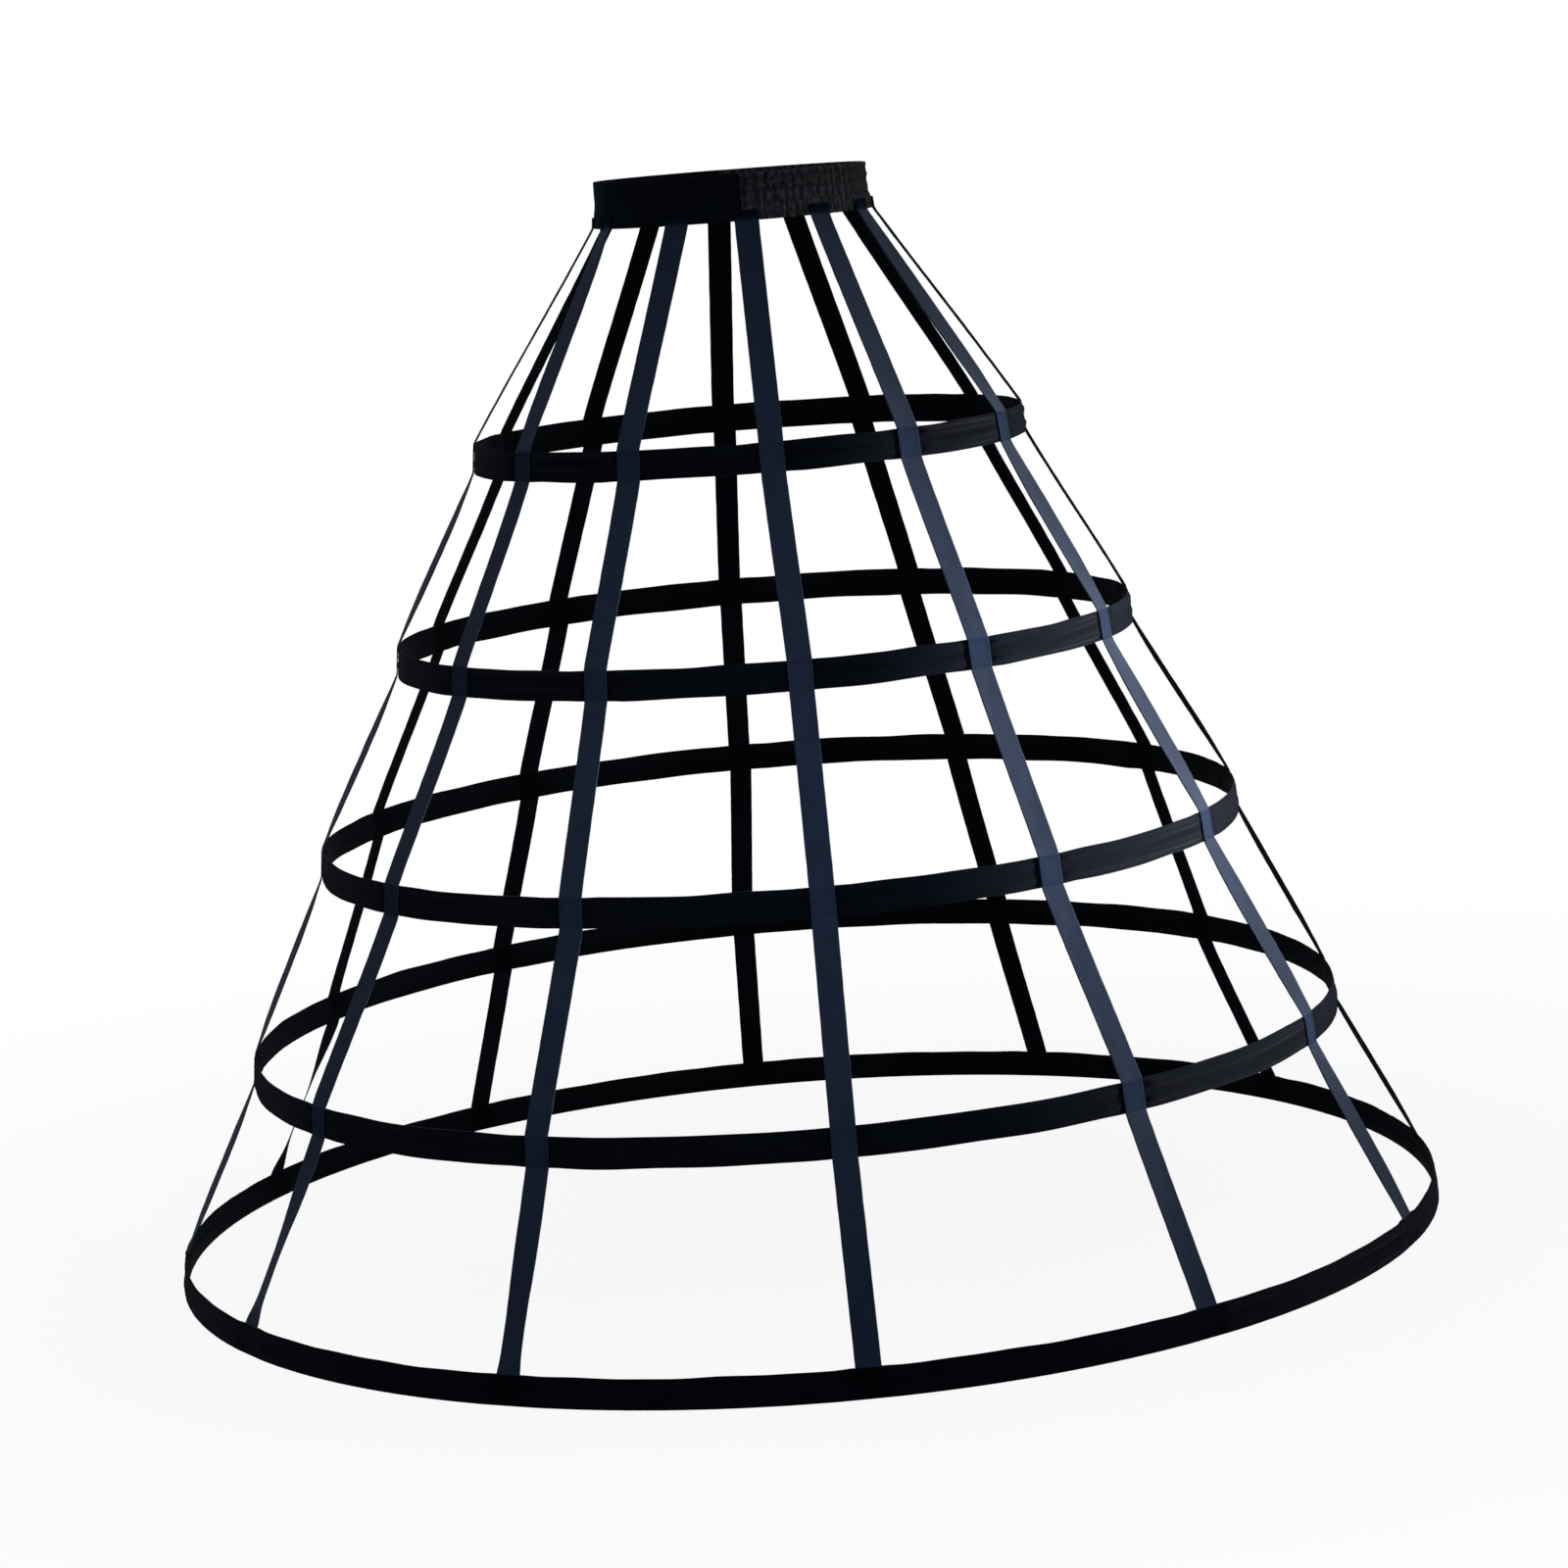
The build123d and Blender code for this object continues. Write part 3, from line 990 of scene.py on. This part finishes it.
def gathered(angle, height):
    """How far the shirred cloth puckers out, from 0 to 1. Its puckers break at each row of elastic thread."""
    rng = random_for(gather_stream)
    along = angle * gather_outside
    rows = np.array([-gather_rows_share[0], *gather_rows_share, 2 - gather_rows_share[-1]])
    level = np.interp((height - band_bottom) / band_height, rows, np.arange(len(rows)))
    puffed = np.abs(np.sin(math.pi * level)) ** puff_power
    total = 0
    for number, (wide, small) in enumerate(zip(gather_levels_share, pucker_levels_share)):
        aside = level - number - 0.5
        weight = np.clip((level_reach_share - np.abs(aside)) / level_blend_share, 0, 1)
        lean = aside * wander(along, rng, lean_lengths) * sway
        swayed = wander(along, rng, sway_lengths) * sway + lean
        gather = swell(2 * gather_count * angle + swayed)
        pucker = swell(2 * pucker_count * angle + pucker_sway_share * swayed + rng.uniform(0, tau))
        uneven = uneven_share + uneven_share * wander(along, rng, uneven_lengths)
        crinkle = crinkle_share * crumple(along, height, rng, crinkle_lengths)
        total = total + weight * (wide * gather + small * pucker**pucker_power * uneven + crinkle * puffed)
    return np.clip(total * (row_height_share + (1 - row_height_share) * puffed), 0, 1)


def gather_shade(angle, height):
    """Painted shade between the puckers and painted highlight on them."""
    return valley_shade_share + (crest_highlight_share - valley_shade_share) * gathered(angle, height)


def back_point(angle, height, inward, proud=0.0):
    """A point of the shirred half: upright puckers outside, and a smoother layer inside."""
    outer = gather_outside - gather_depth - shirred_cloth / 2
    inner = band_inside + shirred_cloth / 2
    out = gathered(angle, height)
    inner_radius = inner - inner_pucker_share * shirred_cloth * out
    radius = (outer + gather_depth * out) * (1 - inward) + inner_radius * inward
    return polar(radius + flare(height) + proud * (1 - 2 * inward), angle, height + 0 * angle)


def make_band(
    *, name, node, material, cloth, point, angles, step, levels, fold, rows, shade_at=None
):
    """One half of the waistband, a strip folded over at the top, with rows of stitches round it."""
    count = math.ceil((angles[1] - angles[0]) * band_outside / step)
    angle = np.linspace(*angles, count)[:, None]
    heights, inwards = band_columns(levels, fold, rows)
    points = point(angle, heights, inwards)
    across = np.append(0, np.cumsum(np.linalg.norm(np.diff(points[0], axis=0), axis=1)))
    uvs = np.stack(np.broadcast_arrays(angle * band_outside, across[None]), axis=-1)
    # Painted shade and painted highlight of the puckers, where the half has them
    shade = shade_at(angle, heights) if shade_at else 1.0
    piece = make_piece(name, points, grid_faces(count, points.shape[1]), [material], uvs, shade=shade)
    thicken(piece, cloth)
    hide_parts(node)
    starts, ends, normals = [], [], []
    stitch, pitch = stitch_length / band_outside, stitch_pitch / band_outside
    begin = np.arange(angles[0], angles[1] - stitch, pitch)[:, None]
    for row in rows:
        for inward in (0.0, 1.0):
            where = np.full((1, 1), row), np.full((1, 1), inward)
            starts.append(point(begin, *where, cloth / 2)[:, 0])
            ends.append(point(begin + stitch, *where, cloth / 2)[:, 0])
            normals.append(polar(1 - 2 * inward, begin[:, 0], 0.0))
    seam = stitch_piece(f"{name}_stitches", starts, ends, normals)


def make_waistband():
    """Its flat half and its shirred half, which meet at two seams."""
    half_gap = seam_gap / band_outside / 2
    make_band(
        name="flat_band",
        node="waistband_front",
        material=band_face,
        cloth=band_cloth,
        point=front_point,
        angles=(math.pi + half_gap, tau - half_gap),
        step=band_step,
        levels=front_levels,
        fold=(band_outside - band_inside) / 2 - band_cloth / 2,
        rows=front_rows,
    )
    make_band(
        name="shirred_band",
        node="waistband_back",
        material=shirred_face,
        cloth=shirred_cloth,
        point=back_point,
        angles=(half_gap, math.pi - half_gap),
        step=gather_step,
        levels=back_levels,
        fold=(gather_outside - gather_depth - band_inside) / 2 - shirred_cloth / 2,
        rows=back_rows,
        shade_at=gather_shade,
    )


def make_elastic():
    """The woven elastic inside the shirred half, which flares with it."""
    node = "waistband_elastic"
    points = node_points(node)
    reach, angles = np.hypot(*points[:, :2].T), np.arctan2(points[:, 1], points[:, 0])
    radius, thickness = (reach.min() + reach.max()) / 2, reach.max() - reach.min()
    low, high = points[:, 2].min(), points[:, 2].max()
    angle = np.linspace(angles.min(), angles.max(), math.ceil(np.ptp(angles) * radius / band_step))[:, None]
    heights = np.linspace(low, high, math.ceil((high - low) / band_step))[None]
    places = polar(radius + flare(heights), angle, heights + 0 * angle)
    uvs = np.stack(np.broadcast_arrays(angle * radius, heights), axis=-1)
    piece = make_piece("elastic_strip", places, grid_faces(*places.shape[:2]), [elastic_face], uvs)
    thicken(piece, thickness)
    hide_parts(node)


# Bones and joiners


def finish_stiff_pieces():
    """The bones and joiners keep their solids, with a better finish."""
    for kind, finish in (("hoop_bone", bone_finish), ("hoop_joiner", joiner_finish)):
        for hoop in hoops:
            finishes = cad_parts[f"{kind}_{hoop['number']}"].data.materials
            finishes.clear()
            finishes.append(finish)


# Stage


def heading(side, rise, distance):
    """A way by degrees to the right of the camera, degrees above the floor, and metres."""
    turn = math.radians(camera_side_angle + side)
    level = math.cos(math.radians(rise))
    return Vector((math.cos(turn) * level, math.sin(turn) * level, math.sin(math.radians(rise)))) * distance


def add_light(name, aim, place, size, power, spread, colour):
    data = bpy.data.lights.new(name, "AREA")
    data.shape = "DISK"
    data.size = size
    data.energy = power
    data.spread = math.radians(spread)
    data.color = colour
    light = bpy.data.objects.new(name, data)
    light.location = Vector((0, 0, lit_height)) + heading(*aim) + heading(*place)
    light.rotation_euler = (-heading(*place)).to_track_quat("-Z", "Y").to_euler()
    bpy.context.scene.collection.objects.link(light)


def seen_directly(tree):
    """1 for rays from the camera, from gloss or through glass, and 0 for those that carry light."""
    path = tree.nodes.new("ShaderNodeLightPath")
    found = path.outputs["Is Camera Ray"]
    for kind in ("Is Glossy Ray", "Is Transmission Ray"):
        found = math_node(tree, "MAXIMUM", found, path.outputs[kind])
    return found


def make_world():
    """White to the camera, and a soft even light on the object."""
    world = bpy.data.worlds.new("studio")
    bpy.context.scene.world = world
    world.use_nodes = True
    tree = world.node_tree
    lighting = feed(tree, tree.nodes["Background"], Color=(*world_colour, 1), Strength=world_light)
    plain = add_node(tree, "ShaderNodeBackground", Color=(*white, 1), Strength=1.0)
    mixed = mix_shader(tree, seen_directly(tree), lighting.outputs[0], plain.outputs[0])
    feed(tree, tree.nodes["World Output"], Surface=mixed)


def make_floor():
    """A wide white floor that keeps a faint shadow round the cage."""
    half = floor_size / 2
    mesh = bpy.data.meshes.new("floor")
    corners = [(-half, -half, 0), (half, -half, 0), (half, half, 0), (-half, half, 0)]
    mesh.from_pydata(corners, [], [range(len(corners))])
    floor = bpy.data.objects.new("floor", mesh)
    bpy.context.scene.collection.objects.link(floor)
    material, tree, shader = new_material("floor")
    mesh.materials.append(material)
    seen = seen_directly(tree)
    tone = mix_colour(tree, seen, floor_bounce, floor_colour)
    feed(tree, shader, Base_Color=tone, Roughness=1.0, Specular_IOR_Level=0.0)
    plain = add_node(tree, "ShaderNodeEmission", Color=(*white, 1), Strength=1.0)
    distance = tree.nodes.new("ShaderNodeVectorMath")
    distance.operation = "LENGTH"
    put(tree, distance.inputs[0], tree.nodes.new("ShaderNodeTexCoord").outputs["Object"])
    reach = distance.outputs["Value"]
    fade = add_node(
        tree, "ShaderNodeMapRange", Value=reach, From_Max=shadow_reach, To_Min=1 - shadow_share, To_Max=1.0
    )
    fade.interpolation_type = "SMOOTHSTEP"
    share = math_node(tree, "MULTIPLY", seen, fade.outputs["Result"])
    mixed = mix_shader(tree, share, shader.outputs[0], plain.outputs[0])
    feed(tree, tree.nodes["Material Output"], Surface=mixed)


def make_camera():
    """The photograph's view: from the side, a little above, and rolled."""
    turn, pitch, roll = (math.radians(a) for a in (camera_side_angle, camera_pitch, camera_roll))
    level_right = Vector((-math.sin(turn), math.cos(turn), 0))
    forward = Vector((-math.cos(turn) * math.cos(pitch), -math.sin(turn) * math.cos(pitch), -math.sin(pitch)))
    level_up = level_right.cross(forward)
    right = level_right * math.cos(roll) - level_up * math.sin(roll)
    up = level_right * math.sin(roll) + level_up * math.cos(roll)
    aim = level_right * camera_aim_aside + Vector((0, 0, camera_aim_height))
    data = bpy.data.cameras.new("camera")
    data.lens = camera_lens
    data.sensor_width = camera_sensor
    data.clip_end = camera_far
    camera = bpy.data.objects.new("camera", data)
    turned = Matrix((right, up, -forward)).transposed().to_4x4()
    camera.matrix_world = Matrix.Translation(aim - forward * camera_distance) @ turned
    bpy.context.scene.collection.objects.link(camera)
    bpy.context.scene.camera = camera


for hoop in hoops:
    make_casing(hoop)
for number in tapes:
    make_tape(number)
make_waistband()
make_elastic()
finish_stiff_pieces()

make_world()
make_floor()
add_light("key", key_aim, key_place, key_size, key_power, key_spread, key_colour)
add_light("fill", fill_aim, fill_place, fill_size, fill_power, fill_spread, fill_colour)
make_camera()
bpy.context.scene.view_settings.view_transform = "Standard"
